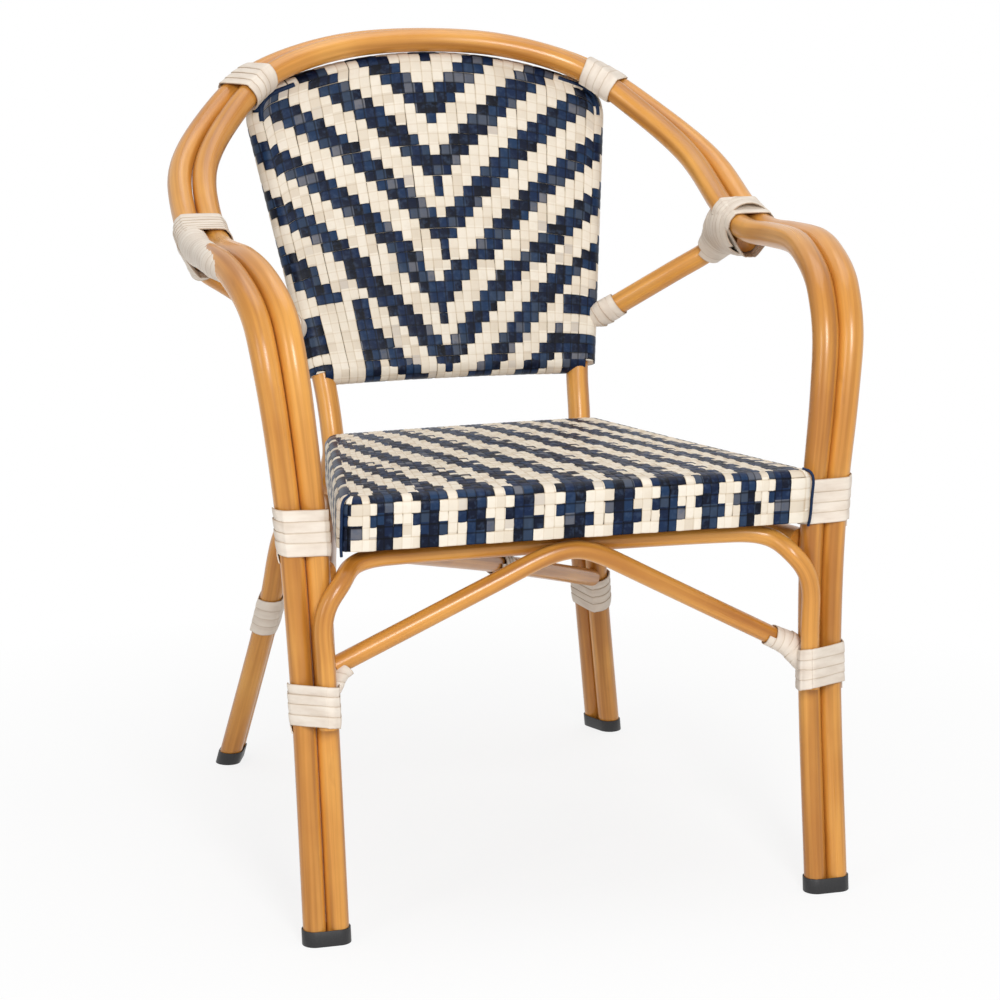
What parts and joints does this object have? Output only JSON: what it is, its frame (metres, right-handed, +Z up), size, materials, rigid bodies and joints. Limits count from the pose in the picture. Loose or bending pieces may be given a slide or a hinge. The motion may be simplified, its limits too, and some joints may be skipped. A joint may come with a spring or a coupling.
{
  "type": "woven bistro armchair",
  "caption": "Woven outdoor bistro armchair with a painted bamboo-look tube frame, arched hoop back, chevron woven back panel and striped woven seat, bound with ivory strip.",
  "frame": {"origin": "centre of the bounding box on the floor", "axes": "+Z up, -Y towards the front edge of the seat, +X to the right seen from the front"},
  "size_m": [0.667, 0.6626, 0.852],
  "materials": {
    "bamboo_paint": "gloss",
    "ivory_strip": "satin",
    "weave": "satin",
    "foot_rubber": "matte"
  },
  "bodies": {
    "root": {"arm_leg_tube_right_outer": "bamboo_paint", "arm_leg_tube_right_inner": "bamboo_paint", "side_rail_leg_right": "bamboo_paint", "arm_brace_right": "bamboo_paint", "wrap_front_low_right": "ivory_strip", "wrap_seat_level_right": "ivory_strip", "wrap_arm_joint_right": "ivory_strip", "wrap_hoop_right": "ivory_strip", "wrap_rear_leg_right": "ivory_strip", "wrap_lambda_end_right": "ivory_strip", "wrap_arm_brace_right": "ivory_strip", "foot_cap_front_right": "foot_rubber", "foot_cap_rear_right": "foot_rubber", "arm_leg_tube_left_outer": "bamboo_paint", "arm_leg_tube_left_inner": "bamboo_paint", "side_rail_leg_left": "bamboo_paint", "arm_brace_left": "bamboo_paint", "wrap_front_low_left": "ivory_strip", "wrap_seat_level_left": "ivory_strip", "wrap_arm_joint_left": "ivory_strip", "wrap_hoop_left": "ivory_strip", "wrap_rear_leg_left": "ivory_strip", "wrap_lambda_end_left": "ivory_strip", "wrap_arm_brace_left": "ivory_strip", "foot_cap_front_left": "foot_rubber", "foot_cap_rear_left": "foot_rubber", "hoop_tube_front": "bamboo_paint", "hoop_tube_rear": "bamboo_paint", "back_frame_tube": "bamboo_paint", "back_bottom_rail": "bamboo_paint", "front_u_brace": "bamboo_paint", "front_lambda_brace": "bamboo_paint", "seat_front_rail": "bamboo_paint", "seat_rear_rail": "bamboo_paint", "seat_side_rail_right": "bamboo_paint", "seat_side_rail_left": "bamboo_paint", "seat_slat_front": "bamboo_paint", "seat_slat_rear": "bamboo_paint", "seat_weave": "weave", "back_weave": "weave", "diagonal_stretcher": "bamboo_paint", "wrap_stretcher": "ivory_strip"}
  },
  "joints": []
}
